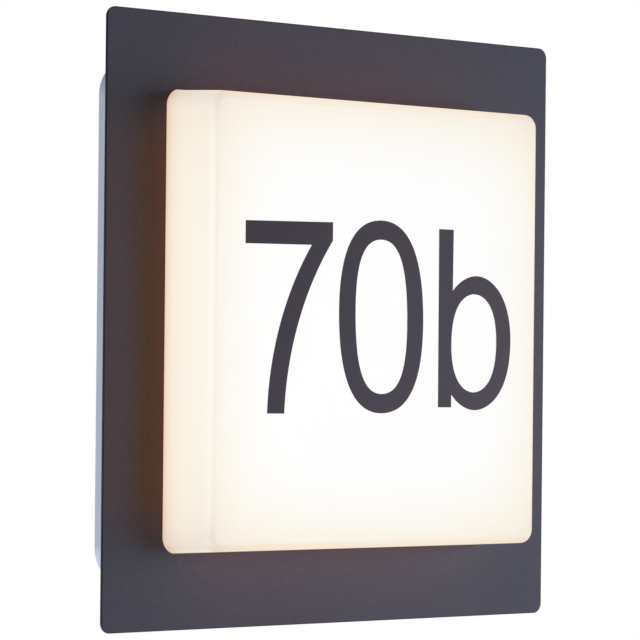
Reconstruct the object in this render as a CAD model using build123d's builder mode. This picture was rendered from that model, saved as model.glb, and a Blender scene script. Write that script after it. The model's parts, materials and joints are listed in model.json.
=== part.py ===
from build123d import *

import os
from math import cos, radians, sin, tan

os.makedirs("parts", exist_ok=True)

# Illuminated house number sign. Millimetres, +Z up, the wall is the plane y = 0 and the sign faces -Y.
# The origin is the centre of the four wall screws, on the wall. Depths are distances in front of the wall.

# ---- driving dimensions ----
PLATE = 300.0  # front plate, square
PLATE_R = 5.25
PLATE_T = 1.5
WINDOW = 225.4  # window in the plate
WINDOW_R = 8.1
PLATE_BACK = 32.0  # depth of the plate's back face
PLATE_FRONT = PLATE_BACK + PLATE_T

GASKET_T = 1.0
GASKET_OUT = 255.4
GASKET_IN = 226.2

DIFF_BASE = 224.6  # opal box where it comes through the plate
DIFF_BASE_R = 7.7
DIFF_TOP = 221.25  # opal box at its front face, before the edge rounding
DIFF_TOP_R = 7.0
DIFF_FRONT = 66.5
DIFF_WALL = 2.5
DIFF_EDGE_R = 3.6
FLANGE = 249.0
FLANGE_R = 13.5
FLANGE_T = 2.0
RIM = PLATE_BACK - GASKET_T  # 31, the housing's rim and the flange's front face
FLANGE_BACK = RIM - FLANGE_T  # 29

STUD_AT = 119.0  # stud rows, from the centre
STUD_ALONG = 62.0
STUD_R = 1.5
NUT_AF = 5.5
NUT_H = 2.4
FLANGE_WASHER_T = 0.5

HOUSING = 256.0
HOUSING_R = 17.5
HOUSING_WALL = 2.5
FLOOR = 3.0
INSIDE = HOUSING - 2 * HOUSING_WALL
FLOOR_R = 16.0  # a little rounder than the frame's inside corners

WALL_HOLE_AT = 105.0  # wall screws, from the centre
WALL_HOLE_R = 2.75
PAD_H = 1.0
WALL_WASHER_T = 1.5

TRAY_W, TRAY_H, TRAY_Z = 196.0, 180.0, 8.0
TRAY_T = 1.2
TRAY_BACK = 24.8
TRAY_FRONT = TRAY_BACK + TRAY_T
POSTS = [(-88, -62), (88, -62), (-88, 88), (88, 88)]

BOARD = 136.0
BOARD_T = 1.6
BOARD_FRONT = TRAY_FRONT + BOARD_T
BOARD_SCREW_AT = 64.0
LED_PITCH = 22.0

DRIVER_W, DRIVER_H, DRIVER_Z = 70.0, 34.0, 29.0
DRIVER_BACK, DRIVER_TOP = 3.2, 19.4
DRIVER_EAR = 42.5

TERM_X, TERM_Z = -22.0, -103.0
TERM_BACK, TERM_FRONT = 5.0, 17.0
CLAMP_X = 26.0
ENTRY_X, ENTRY_Z = 62.0, -103.0
ENTRY_R = 4.0

SIDE_SCREW_DEPTH = 22.0
SIDE_SCREW_R = 1.95
TAB_IN, TAB_T, TAB_W = 128.35, 1.5, 24.0
TAB_END = 15.5

FILM_T = 0.2  # numeral film


def at(depth):
    """Sketch plane parallel to the wall: local x is +X, local y is +Z, and extruding goes away from the wall."""
    return Plane.XZ.offset(depth)


# Planes that look along X, for the side screws: extruding goes outward, away from the housing's middle.
LEFT = Plane(origin=(0, -SIDE_SCREW_DEPTH, 0), x_dir=(0, 1, 0), z_dir=(-1, 0, 0))
RIGHT = Plane(origin=(0, -SIDE_SCREW_DEPTH, 0), x_dir=(0, 1, 0), z_dir=(1, 0, 0))

STUDS = [
    (sx * STUD_AT, sz * STUD_ALONG) for sx in (-1, 1) for sz in (-1, 1)
] + [(sx * STUD_ALONG, sz * STUD_AT) for sx in (-1, 1) for sz in (-1, 1)]
WALL_HOLES = [
    (sx * WALL_HOLE_AT, sz * WALL_HOLE_AT) for sx in (-1, 1) for sz in (-1, 1)
]
BOARD_SCREWS = [
    (sx * BOARD_SCREW_AT, sz * BOARD_SCREW_AT) for sx in (-1, 1) for sz in (-1, 1)
]


# ================= rear housing and what stays on the wall =================

# Wall frame of the moulded housing: four walls in one ring, side bosses for the cover screws, weep hole.
with BuildPart() as rear_housing:
    with BuildSketch(at(0)):
        RectangleRounded(HOUSING, HOUSING, HOUSING_R)
        RectangleRounded(INSIDE, INSIDE, HOUSING_R - HOUSING_WALL, mode=Mode.SUBTRACT)
    extrude(amount=RIM)
    fillet(rear_housing.faces().sort_by(Axis.Y)[-1].outer_wire().edges(), 0.3)
    # side bosses, tied to the wall and the floor by a web
    with BuildSketch(LEFT.offset(HOUSING / 2 - HOUSING_WALL - 11.0)):
        Circle(5.4)
    extrude(amount=11.5)
    with BuildSketch(RIGHT.offset(HOUSING / 2 - HOUSING_WALL - 11.0)):
        Circle(5.4)
    extrude(amount=11.5)
    with BuildSketch(at(FLOOR)):
        with Locations((-120.25, 0), (120.25, 0)):
            Rectangle(11.0, 2.4)
    extrude(amount=15.5)
    # pockets for the thread inserts, from outside
    with BuildSketch(LEFT.offset(116.5)):
        Circle(2.8)
    extrude(amount=12.0, mode=Mode.SUBTRACT)
    with BuildSketch(RIGHT.offset(116.5)):
        Circle(2.8)
    extrude(amount=12.0, mode=Mode.SUBTRACT)
    # weep hole in the lower wall
    with BuildSketch(Plane.XY.offset(-HOUSING / 2 - 1)):
        with Locations((0, -7.5)):
            Circle(2.2)
    extrude(amount=HOUSING_WALL + 2, mode=Mode.SUBTRACT)
rear_housing.part.label = "rear_housing"

# Floor moulding, welded inside the wall frame: screw pads, tray posts, bosses, ribs, cable entry.
with BuildPart() as housing_floor:
    with BuildSketch(at(0)):
        RectangleRounded(INSIDE, INSIDE, FLOOR_R)
    extrude(amount=FLOOR)
    # pads round the wall screws
    with BuildSketch(at(FLOOR)):
        with Locations(*WALL_HOLES):
            Circle(8.0)
    extrude(amount=PAD_H)
    # posts that carry the gear tray, on wider feet
    with BuildSketch(at(FLOOR)):
        with Locations(*POSTS):
            Circle(6.5)
    extrude(amount=2.0)
    with BuildSketch(at(FLOOR)):
        with Locations(*POSTS):
            Circle(4.5)
    extrude(amount=TRAY_BACK - FLOOR)
    # low bosses under the driver's ears
    with BuildSketch(at(FLOOR)):
        with Locations((-DRIVER_EAR, DRIVER_Z), (DRIVER_EAR, DRIVER_Z)):
            Circle(4.0)
    extrude(amount=4.0)
    # pad under the terminal block and posts of the cord clamp
    with BuildSketch(at(FLOOR)):
        with Locations((TERM_X, TERM_Z)):
            RectangleRounded(26, 24, 2)
    extrude(amount=TERM_BACK - FLOOR)
    with BuildSketch(at(FLOOR)):
        with Locations((CLAMP_X, ENTRY_Z - 9.5), (CLAMP_X, ENTRY_Z + 9.5)):
            Circle(3.6)
    extrude(amount=5.5)
    with BuildSketch(at(FLOOR)):
        with Locations((CLAMP_X, ENTRY_Z)):
            Rectangle(7, 9)
    extrude(amount=0.8)
    # stiffening ribs across the floor
    with BuildSketch(at(FLOOR)):
        with Locations((-102, 0), (102, 0)):
            Rectangle(1.6, 150)
        with Locations((0, 104)):
            Rectangle(150, 1.6)
    extrude(amount=5.0)
    # wall screw holes
    with BuildSketch(at(-1)):
        with Locations(*WALL_HOLES):
            Circle(WALL_HOLE_R)
    extrude(amount=FLOOR + PAD_H + 2, mode=Mode.SUBTRACT)
    # pilot holes: posts, driver bosses, terminal pad, clamp posts
    with BuildSketch(at(TRAY_BACK)):
        with Locations(*POSTS):
            Circle(1.5)
    extrude(amount=-13.0, mode=Mode.SUBTRACT)
    with BuildSketch(at(FLOOR + 4.0)):
        with Locations((-DRIVER_EAR, DRIVER_Z), (DRIVER_EAR, DRIVER_Z)):
            Circle(1.5)
    extrude(amount=-5.8, mode=Mode.SUBTRACT)
    with BuildSketch(at(TERM_BACK)):
        with Locations((TERM_X, TERM_Z)):
            Circle(1.25)
    extrude(amount=-3.8, mode=Mode.SUBTRACT)
    with BuildSketch(at(FLOOR + 5.5)):
        with Locations((CLAMP_X, ENTRY_Z - 9.5), (CLAMP_X, ENTRY_Z + 9.5)):
            Circle(1.5)
    extrude(amount=-7.0, mode=Mode.SUBTRACT)
    # cable entry, with a recess at the back for the grommet's flange
    with BuildSketch(at(-1)):
        with Locations((ENTRY_X, ENTRY_Z)):
            Circle(7.0)
    extrude(amount=FLOOR + 2, mode=Mode.SUBTRACT)
    with BuildSketch(at(-1)):
        with Locations((ENTRY_X, ENTRY_Z)):
            Circle(9.6)
    extrude(amount=2.4, mode=Mode.SUBTRACT)
housing_floor.part.label = "housing_floor"

# Rubber washers that seal the four wall screws.
with BuildPart() as wall_hole_washers:
    with BuildSketch(at(FLOOR + PAD_H)):
        with Locations(*WALL_HOLES):
            Circle(6.0)
    extrude(amount=WALL_WASHER_T)
    chamfer(
        wall_hole_washers.edges()
        .filter_by(GeomType.CIRCLE)
        .group_by(Axis.Y)[0],
        0.4,
    )
    with BuildSketch(at(FLOOR)):
        with Locations(*WALL_HOLES):
            Circle(WALL_HOLE_R)
    extrude(amount=PAD_H + WALL_WASHER_T + 1, mode=Mode.SUBTRACT)
wall_hole_washers.part.label = "wall_hole_washers"

# Cable entry grommet: two flanges, a neck in the floor's hole, and a tapered sleeve.
with BuildPart() as cable_grommet:
    with BuildSketch(
        Plane(origin=(ENTRY_X, 0, ENTRY_Z), x_dir=(1, 0, 0), z_dir=(0, 0, 1))
    ):
        with BuildLine():
            Polyline(
                (ENTRY_R, -0.1),
                (9.2, -0.1),
                (9.2, -1.3),
                (6.9, -1.3),
                (6.9, -FLOOR),
                (9.4, -FLOOR),
                (9.0, -4.7),
                (6.6, -5.4),
                (6.2, -8.0),
                (5.7, -8.4),
                (5.5, -10.6),
                (5.1, -11.0),
                (4.9, -13.0),
                (ENTRY_R, -13.0),
                close=True,
            )
        make_face()
    revolve(axis=Axis((ENTRY_X, 0, ENTRY_Z), (0, 1, 0)), revolution_arc=360)
cable_grommet.part.label = "cable_grommet"

# Brass thread inserts, one in each side boss.
with BuildPart() as thread_inserts:
    for side in (LEFT, RIGHT):
        with BuildSketch(side.offset(119.9)):
            Circle(2.78)
        extrude(amount=8.0)
        with BuildSketch(side.offset(123.4)):
            Circle(2.9)
            Circle(2.45, mode=Mode.SUBTRACT)
        extrude(amount=1.0, mode=Mode.SUBTRACT)
        with BuildSketch(side.offset(119.0)):
            Circle(SIDE_SCREW_R + 0.07)
        extrude(amount=10.0, mode=Mode.SUBTRACT)
thread_inserts.part.label = "thread_inserts"

# White reflector tray: sheet with a folded-back edge.
with BuildPart() as gear_tray:
    with BuildSketch(at(TRAY_BACK)):
        with Locations((0, TRAY_Z)):
            RectangleRounded(TRAY_W, TRAY_H, 6)
    extrude(amount=TRAY_T)
    with BuildSketch(at(TRAY_BACK)):
        with Locations((0, TRAY_Z)):
            RectangleRounded(TRAY_W, TRAY_H, 6)
            RectangleRounded(
                TRAY_W - 2 * TRAY_T, TRAY_H - 2 * TRAY_T, 6 - TRAY_T, mode=Mode.SUBTRACT
            )
    extrude(amount=-6.0)
    fillet(
        gear_tray.faces().sort_by(Axis.Y)[0].outer_wire().edges(), 0.9
    )
    with BuildSketch(at(TRAY_BACK - 1)):
        with Locations(*POSTS):
            Circle(1.8)
        with Locations(*BOARD_SCREWS):
            Circle(1.5)
        with Locations((20, -75)):
            Circle(4.0)
    extrude(amount=TRAY_T + 2, mode=Mode.SUBTRACT)
gear_tray.part.label = "gear_tray"

# Pan head screws that hold the tray on its posts.
with BuildPart() as tray_screws:
    with BuildSketch(at(TRAY_FRONT)):
        with Locations(*POSTS):
            Circle(2.8)
    extrude(amount=2.0)
    fillet(
        tray_screws.edges().filter_by(GeomType.CIRCLE).group_by(Axis.Y)[0], 0.8
    )
    with BuildSketch(at(TRAY_FRONT)):
        with Locations(*POSTS):
            Circle(1.46)
    extrude(amount=-10.0)
    with BuildSketch(at(TRAY_FRONT + 2.0)):
        with Locations(*POSTS):
            Rectangle(3.2, 0.7)
            Rectangle(0.7, 3.2)
    extrude(amount=-1.1, mode=Mode.SUBTRACT)
tray_screws.part.label = "tray_screws"

# Rubber grommet where the LED leads come through the tray.
with BuildPart() as lead_grommet:
    with BuildSketch(at(TRAY_BACK - 1.0)):
        with Locations((20, -75)):
            Circle(5.4)
    extrude(amount=1.0)
    with BuildSketch(at(TRAY_BACK)):
        with Locations((20, -75)):
            Circle(3.95)
    extrude(amount=TRAY_T)
    with BuildSketch(at(TRAY_FRONT)):
        with Locations((20, -75)):
            Circle(5.4)
    extrude(amount=1.0)
    with BuildSketch(at(TRAY_BACK - 2)):
        with Locations((20, -75)):
            Circle(2.6)
    extrude(amount=6.0, mode=Mode.SUBTRACT)
lead_grommet.part.label = "lead_grommet"

# LED board on the tray, square, with its screw holes.
with BuildPart() as led_board:
    with BuildSketch(at(TRAY_FRONT)):
        RectangleRounded(BOARD, BOARD, 3)
        with Locations(*BOARD_SCREWS):
            Circle(1.7, mode=Mode.SUBTRACT)
    extrude(amount=BOARD_T)
led_board.part.label = "led_board"

# LED packages in six rows of six.
with BuildPart() as led_packages:
    with BuildSketch(at(BOARD_FRONT)):
        with GridLocations(LED_PITCH, LED_PITCH, 6, 6):
            Rectangle(3.0, 3.0)
    extrude(amount=0.7)
led_packages.part.label = "led_packages"

with BuildPart() as led_board_screws:
    with BuildSketch(at(BOARD_FRONT)):
        with Locations(*BOARD_SCREWS):
            Circle(2.75)
    extrude(amount=1.8)
    fillet(
        led_board_screws.edges().filter_by(GeomType.CIRCLE).group_by(Axis.Y)[0], 0.7
    )
    with BuildSketch(at(BOARD_FRONT)):
        with Locations(*BOARD_SCREWS):
            Circle(1.46)
    extrude(amount=-5.6)
    with BuildSketch(at(BOARD_FRONT + 1.8)):
        with Locations(*BOARD_SCREWS):
            Rectangle(3.0, 0.7)
            Rectangle(0.7, 3.0)
    extrude(amount=-1.0, mode=Mode.SUBTRACT)
led_board_screws.part.label = "led_board_screws"

# Two-way push-in connector at the board's lower edge.
with BuildPart() as led_connector:
    with BuildSketch(at(BOARD_FRONT)):
        with Locations((0, -62)):
            Rectangle(9.0, 6.0)
    extrude(amount=4.0)
    fillet(led_connector.faces().sort_by(Axis.Y)[0].edges(), 0.5)
    with BuildSketch(Plane.XY.offset(-65.5)):
        with Locations((-2.1, -29.6), (2.1, -29.6)):
            Circle(1.0)
    extrude(amount=4.6, mode=Mode.SUBTRACT)
led_connector.part.label = "led_connector"

# ---- driver ----
# Case: open box with two ears.
with BuildPart() as driver_case:
    with BuildSketch(at(DRIVER_BACK)):
        with Locations((0, DRIVER_Z)):
            RectangleRounded(DRIVER_W, DRIVER_H, 2.5)
    extrude(amount=DRIVER_TOP - DRIVER_BACK)
    with BuildSketch(at(FLOOR + 4.0)):
        with Locations((0, DRIVER_Z)):
            SlotOverall(2 * DRIVER_EAR + 10, 10)
    extrude(amount=1.6)
    with BuildSketch(at(DRIVER_BACK + 1.6)):
        with Locations((0, DRIVER_Z)):
            RectangleRounded(DRIVER_W - 3.2, DRIVER_H - 3.2, 1.2)
    extrude(amount=DRIVER_TOP, mode=Mode.SUBTRACT)
    # ledges that carry the circuit board
    with BuildSketch(at(DRIVER_BACK + 1.6)):
        with Locations((0, DRIVER_Z)):
            with GridLocations(62, 26, 2, 2):
                Rectangle(4.8, 4.8)
    extrude(amount=2.4)
    with BuildSketch(at(FLOOR + 3)):
        with Locations((-DRIVER_EAR, DRIVER_Z), (DRIVER_EAR, DRIVER_Z)):
            Circle(1.75)
    extrude(amount=4, mode=Mode.SUBTRACT)
    # lead holes in both ends
    with BuildSketch(Plane.YZ.offset(-DRIVER_W / 2 - 1)):
        with Locations((-12.5, 22), (-12.5, 36)):
            Circle(1.9)
    extrude(amount=3.2, mode=Mode.SUBTRACT)
    with BuildSketch(Plane.YZ.offset(DRIVER_W / 2 - 2)):
        with Locations((-12.5, 22), (-12.5, 36)):
            Circle(1.6)
    extrude(amount=3.2, mode=Mode.SUBTRACT)
driver_case.part.label = "driver_case"

with BuildPart() as driver_lid:
    with BuildSketch(at(DRIVER_TOP)):
        with Locations((0, DRIVER_Z)):
            RectangleRounded(DRIVER_W, DRIVER_H, 2.5)
    extrude(amount=1.6)
    chamfer(driver_lid.faces().sort_by(Axis.Y)[0].edges(), 0.5)
    with BuildSketch(at(DRIVER_TOP)):
        with Locations((0, DRIVER_Z)):
            RectangleRounded(DRIVER_W - 3.5, DRIVER_H - 3.5, 1.1)
            RectangleRounded(DRIVER_W - 5.9, DRIVER_H - 5.9, 0.8, mode=Mode.SUBTRACT)
    extrude(amount=-1.5)
driver_lid.part.label = "driver_lid"

with BuildPart() as driver_board:
    with BuildSketch(at(DRIVER_BACK + 4.0)):
        with Locations((0, DRIVER_Z)):
            Rectangle(DRIVER_W - 4.4, DRIVER_H - 4.4)
    extrude(amount=1.4)
driver_board.part.label = "driver_board"

# Transformer: winding block in a core.
with BuildPart() as driver_transformer:
    with BuildSketch(at(DRIVER_BACK + 5.4)):
        with Locations((2, DRIVER_Z)):
            Rectangle(17, 13)
    extrude(amount=8.0)
    with BuildSketch(at(DRIVER_BACK + 5.4)):
        with Locations((2, DRIVER_Z)):
            Rectangle(9, 18)
    extrude(amount=8.6)
driver_transformer.part.label = "driver_transformer"

# Capacitors standing on the board.
with BuildPart() as driver_capacitors:
    with BuildSketch(at(DRIVER_BACK + 5.4)):
        with Locations((-16.5, DRIVER_Z - 3), (21.5, DRIVER_Z + 2)):
            Circle(4.6)
    extrude(amount=8.8)
    fillet(
        driver_capacitors.edges().filter_by(GeomType.CIRCLE).group_by(Axis.Y)[0], 0.6
    )
driver_capacitors.part.label = "driver_capacitors"

with BuildPart() as driver_screws:
    with BuildSketch(at(FLOOR + 5.6)):
        with Locations((-DRIVER_EAR, DRIVER_Z), (DRIVER_EAR, DRIVER_Z)):
            Circle(2.75)
    extrude(amount=1.9)
    fillet(driver_screws.edges().filter_by(GeomType.CIRCLE).group_by(Axis.Y)[0], 0.7)
    with BuildSketch(at(FLOOR + 5.6)):
        with Locations((-DRIVER_EAR, DRIVER_Z), (DRIVER_EAR, DRIVER_Z)):
            Circle(1.46)
    extrude(amount=-6.8)
    with BuildSketch(at(FLOOR + 7.5)):
        with Locations((-DRIVER_EAR, DRIVER_Z), (DRIVER_EAR, DRIVER_Z)):
            Rectangle(3.0, 0.7)
            Rectangle(0.7, 3.0)
    extrude(amount=-1.0, mode=Mode.SUBTRACT)
driver_screws.part.label = "driver_screws"

# ---- terminal block ----
POLES = (TERM_Z - 5.5, TERM_Z + 5.5)
TERM_SCREWS = [(TERM_X + sx * 5.5, z) for sx in (-1, 1) for z in POLES]
with BuildPart() as terminal_block:
    with BuildSketch(at(TERM_BACK)):
        with Locations((TERM_X, TERM_Z)):
            RectangleRounded(22, 21, 1.2)
    extrude(amount=TERM_FRONT - TERM_BACK)
    with BuildSketch(at(TERM_FRONT)):
        with Locations((TERM_X, TERM_Z)):
            Rectangle(24, 1.4)
    extrude(amount=-3.0, mode=Mode.SUBTRACT)
    with BuildSketch(Plane.YZ.offset(TERM_X - 12)):
        with Locations(*[(-10.0, z) for z in POLES]):
            Circle(2.75)
    extrude(amount=24, mode=Mode.SUBTRACT)
    with BuildSketch(at(TERM_FRONT + 1)):
        with Locations(*TERM_SCREWS):
            Circle(2.1)
    extrude(amount=-7.0, mode=Mode.SUBTRACT)
    with BuildSketch(at(TERM_FRONT + 1)):
        with Locations((TERM_X, TERM_Z)):
            Circle(1.4)
    extrude(amount=-16.0, mode=Mode.SUBTRACT)
    with BuildSketch(at(TERM_FRONT)):
        with Locations((TERM_X, TERM_Z)):
            Circle(2.4)
    extrude(amount=-4.5, mode=Mode.SUBTRACT)
terminal_block.part.label = "terminal_block"

# Brass tubes inside the block that the leads are clamped in.
with BuildPart() as terminal_tubes:
    with BuildSketch(Plane.YZ.offset(TERM_X - 9)):
        with Locations(*[(-10.0, z) for z in POLES]):
            Circle(2.7)
            Circle(1.7, mode=Mode.SUBTRACT)
    extrude(amount=18)
    with BuildSketch(at(TERM_FRONT)):
        with Locations(*TERM_SCREWS):
            Circle(1.6)
    extrude(amount=-7.0, mode=Mode.SUBTRACT)
terminal_tubes.part.label = "terminal_tubes"

with BuildPart() as terminal_screws:
    with BuildSketch(at(11.35)):
        with Locations(*TERM_SCREWS):
            Circle(1.5)
    extrude(amount=4.2)
    with BuildSketch(at(13.4)):
        with Locations(*TERM_SCREWS):
            Circle(1.95)
    extrude(amount=2.2)
    with BuildSketch(at(15.6)):
        with Locations(*TERM_SCREWS):
            Rectangle(4.0, 0.6)
    extrude(amount=-0.8, mode=Mode.SUBTRACT)
terminal_screws.part.label = "terminal_screws"

with BuildPart() as terminal_mount_screw:
    with BuildSketch(at(TERM_FRONT - 4.5)):
        with Locations((TERM_X, TERM_Z)):
            Circle(2.2)
    extrude(amount=1.6)
    with BuildSketch(at(TERM_FRONT - 4.5)):
        with Locations((TERM_X, TERM_Z)):
            Circle(1.21)
    extrude(amount=-10.6)
    with BuildSketch(at(TERM_FRONT - 2.9)):
        with Locations((TERM_X, TERM_Z)):
            Rectangle(2.6, 0.6)
            Rectangle(0.6, 2.6)
    extrude(amount=-0.9, mode=Mode.SUBTRACT)
terminal_mount_screw.part.label = "terminal_mount_screw"

# Cord clamp: a bridge over the incoming cable's path.
with BuildPart() as cord_clamp:
    with BuildSketch(Plane.YZ.offset(CLAMP_X - 4.0)):
        with BuildLine():
            Polyline(
                (-8.5, ENTRY_Z - 13.6),
                (-10.5, ENTRY_Z - 13.6),
                (-10.5, ENTRY_Z - 6.4),
                (-14.0, ENTRY_Z - 3.2),
                (-14.0, ENTRY_Z + 3.2),
                (-10.5, ENTRY_Z + 6.4),
                (-10.5, ENTRY_Z + 13.6),
                (-8.5, ENTRY_Z + 13.6),
                (-8.5, ENTRY_Z + 5.4),
                (-12.0, ENTRY_Z + 2.4),
                (-12.0, ENTRY_Z - 2.4),
                (-8.5, ENTRY_Z - 5.4),
                close=True,
            )
        make_face()
    extrude(amount=8.0)
    with BuildSketch(at(7)):
        with Locations((CLAMP_X, ENTRY_Z - 9.5), (CLAMP_X, ENTRY_Z + 9.5)):
            Circle(1.7)
    extrude(amount=5, mode=Mode.SUBTRACT)
cord_clamp.part.label = "cord_clamp"

with BuildPart() as cord_clamp_screws:
    with BuildSketch(at(10.5)):
        with Locations((CLAMP_X, ENTRY_Z - 9.5), (CLAMP_X, ENTRY_Z + 9.5)):
            Circle(2.75)
    extrude(amount=1.9)
    fillet(
        cord_clamp_screws.edges().filter_by(GeomType.CIRCLE).group_by(Axis.Y)[0], 0.7
    )
    with BuildSketch(at(10.5)):
        with Locations((CLAMP_X, ENTRY_Z - 9.5), (CLAMP_X, ENTRY_Z + 9.5)):
            Circle(1.46)
    extrude(amount=-8.4)
    with BuildSketch(at(12.4)):
        with Locations((CLAMP_X, ENTRY_Z - 9.5), (CLAMP_X, ENTRY_Z + 9.5)):
            Rectangle(3.0, 0.7)
            Rectangle(0.7, 3.0)
    extrude(amount=-1.0, mode=Mode.SUBTRACT)
cord_clamp_screws.part.label = "cord_clamp_screws"

# ---- internal leads: straight runs joined by tangent arcs, as large as the runs allow ----
MAINS_LEAD_R = 1.1
LED_LEAD_R = 0.8
LIVE_ROUTE = [
    (-27, -10, -97.5),
    (-50, -9.5, -96.5),
    (-65, -9, -74),
    (-68, -9.5, -36),
    (-65, -10.5, 0),
    (-53, -12, 19.5),
    (-31, -12.5, 22),
]
NEUTRAL_ROUTE = [
    (-27, -10, -108.5),
    (-53, -9.5, -107),
    (-71, -9, -80),
    (-75, -9.5, -36),
    (-71, -10.5, 8),
    (-57, -12, 32.5),
    (-31, -12.5, 36),
]
PLUS_ROUTE = [
    (31, -12.5, 36),
    (53, -12, 33.5),
    (66, -11, 12),
    (64, -10, -20),
    (50, -10, -50),
    (35, -10.5, -72),
    (21.4, -17, -75.6),
    (21.4, -30, -75.2),
    (15, -34, -72.0),
    (7.5, -32.5, -69.0),
    (2.1, -29.6, -66.5),
    (2.1, -29.5, -62),
]
MINUS_ROUTE = [
    (31, -12.5, 22),
    (47, -12, 19.5),
    (58, -11, 0),
    (56, -10, -28),
    (40, -10, -52),
    (25, -11, -68.5),
    (18.6, -17.5, -74.6),
    (18.6, -30, -75.4),
    (10.5, -35.2, -76.5),
    (1.5, -34.2, -74),
    (-2.1, -29.6, -67.5),
    (-2.1, -29.5, -62),
]


def bend_radii(route):
    """One radius for each corner of a route."""
    radii = []
    for a, b, c in zip(route, route[1:], route[2:]):
        run_in, run_out = Vector(*b) - Vector(*a), Vector(*c) - Vector(*b)
        turn = radians(run_in.get_angle(run_out))
        radii.append(0.45 * min(run_in.length, run_out.length) / tan(turn / 2))
    return radii


with BuildPart() as live_lead:
    with BuildLine() as live_line:
        FilletPolyline(*LIVE_ROUTE, radius=bend_radii(LIVE_ROUTE))
    with BuildSketch(Plane(origin=live_line.line @ 0, z_dir=live_line.line % 0)):
        Circle(MAINS_LEAD_R)
    sweep()
live_lead.part.label = "live_lead"

with BuildPart() as neutral_lead:
    with BuildLine() as neutral_line:
        FilletPolyline(*NEUTRAL_ROUTE, radius=bend_radii(NEUTRAL_ROUTE))
    with BuildSketch(Plane(origin=neutral_line.line @ 0, z_dir=neutral_line.line % 0)):
        Circle(MAINS_LEAD_R)
    sweep()
neutral_lead.part.label = "neutral_lead"

with BuildPart() as led_plus_lead:
    with BuildLine() as plus_line:
        FilletPolyline(*PLUS_ROUTE, radius=bend_radii(PLUS_ROUTE))
    with BuildSketch(Plane(origin=plus_line.line @ 0, z_dir=plus_line.line % 0)):
        Circle(LED_LEAD_R)
    sweep()
led_plus_lead.part.label = "led_plus_lead"

with BuildPart() as led_minus_lead:
    with BuildLine() as minus_line:
        FilletPolyline(*MINUS_ROUTE, radius=bend_radii(MINUS_ROUTE))
    with BuildSketch(Plane(origin=minus_line.line @ 0, z_dir=minus_line.line % 0)):
        Circle(LED_LEAD_R)
    sweep()
led_minus_lead.part.label = "led_minus_lead"

for lead_name, lead_route, lead_line, lead_part, lead_r in (
    ("live_lead", LIVE_ROUTE, live_line, live_lead, MAINS_LEAD_R),
    ("neutral_lead", NEUTRAL_ROUTE, neutral_line, neutral_lead, MAINS_LEAD_R),
    ("led_plus_lead", PLUS_ROUTE, plus_line, led_plus_lead, LED_LEAD_R),
    ("led_minus_lead", MINUS_ROUTE, minus_line, led_minus_lead, LED_LEAD_R),
):
    lead_length = sum(e.length for e in lead_line.line.edges())
    expected = 3.14159265 * lead_r**2 * lead_length
    print(
        lead_name,
        "length",
        round(lead_length, 1),
        "volume over section times length",
        round(lead_part.part.volume / expected, 4),
        "radii",
        [round(r, 1) for r in bend_radii(lead_route)],
    )

# ================= cover: comes off the front as one unit =================

# Square sheet with a window, edges just broken.
with BuildPart() as front_plate:
    with BuildSketch(at(PLATE_BACK)):
        RectangleRounded(PLATE, PLATE, PLATE_R)
        RectangleRounded(WINDOW, WINDOW, WINDOW_R, mode=Mode.SUBTRACT)
    extrude(amount=PLATE_T)
    fillet(
        front_plate.faces().sort_by(Axis.Y)[0].outer_wire().edges()
        + front_plate.faces().sort_by(Axis.Y)[-1].outer_wire().edges(),
        0.35,
    )
front_plate.part.label = "front_plate"

# Weld studs on the back of the plate.
with BuildPart() as plate_studs:
    with BuildSketch(at(PLATE_BACK)):
        with Locations(*STUDS):
            Circle(STUD_R)
    extrude(amount=-7.5)
    chamfer(plate_studs.edges().group_by(Axis.Y)[-1], 0.3)
plate_studs.part.label = "plate_studs"

# Slotted side bracket, spot welded behind the plate: a foot along the plate and an ear beside the housing.
with BuildPart() as cover_tab_left:
    with BuildSketch(Plane.XY.offset(-TAB_W / 2)):
        with BuildLine():
            Polyline(
                (-TAB_IN, -PLATE_BACK),
                (-TAB_IN - 14.0, -PLATE_BACK),
                (-TAB_IN - 14.0, -PLATE_BACK + TAB_T),
                (-TAB_IN - TAB_T, -PLATE_BACK + TAB_T),
                (-TAB_IN - TAB_T, -TAB_END),
                (-TAB_IN, -TAB_END),
                close=True,
            )
        make_face()
        fillet(
            vertices().sort_by_distance((-TAB_IN - TAB_T, -PLATE_BACK + TAB_T))[0], 1.2
        )
    extrude(amount=TAB_W)
    fillet(
        cover_tab_left.edges()
        .filter_by(Axis.X)
        .filter_by(lambda e: e.center().Y > -TAB_END - 0.1),
        3.0,
    )
    fillet(
        cover_tab_left.edges()
        .filter_by(Axis.Y)
        .filter_by(lambda e: e.center().X < -TAB_IN - 13.9),
        3.0,
    )
    # slot for the side screw, open towards the wall
    with BuildSketch(LEFT.offset(TAB_IN - 1)):
        Circle(2.3)
        with Locations((5, 0)):
            Rectangle(10, 4.6)
    extrude(amount=4, mode=Mode.SUBTRACT)
cover_tab_left.part.label = "cover_tab_left"

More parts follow.
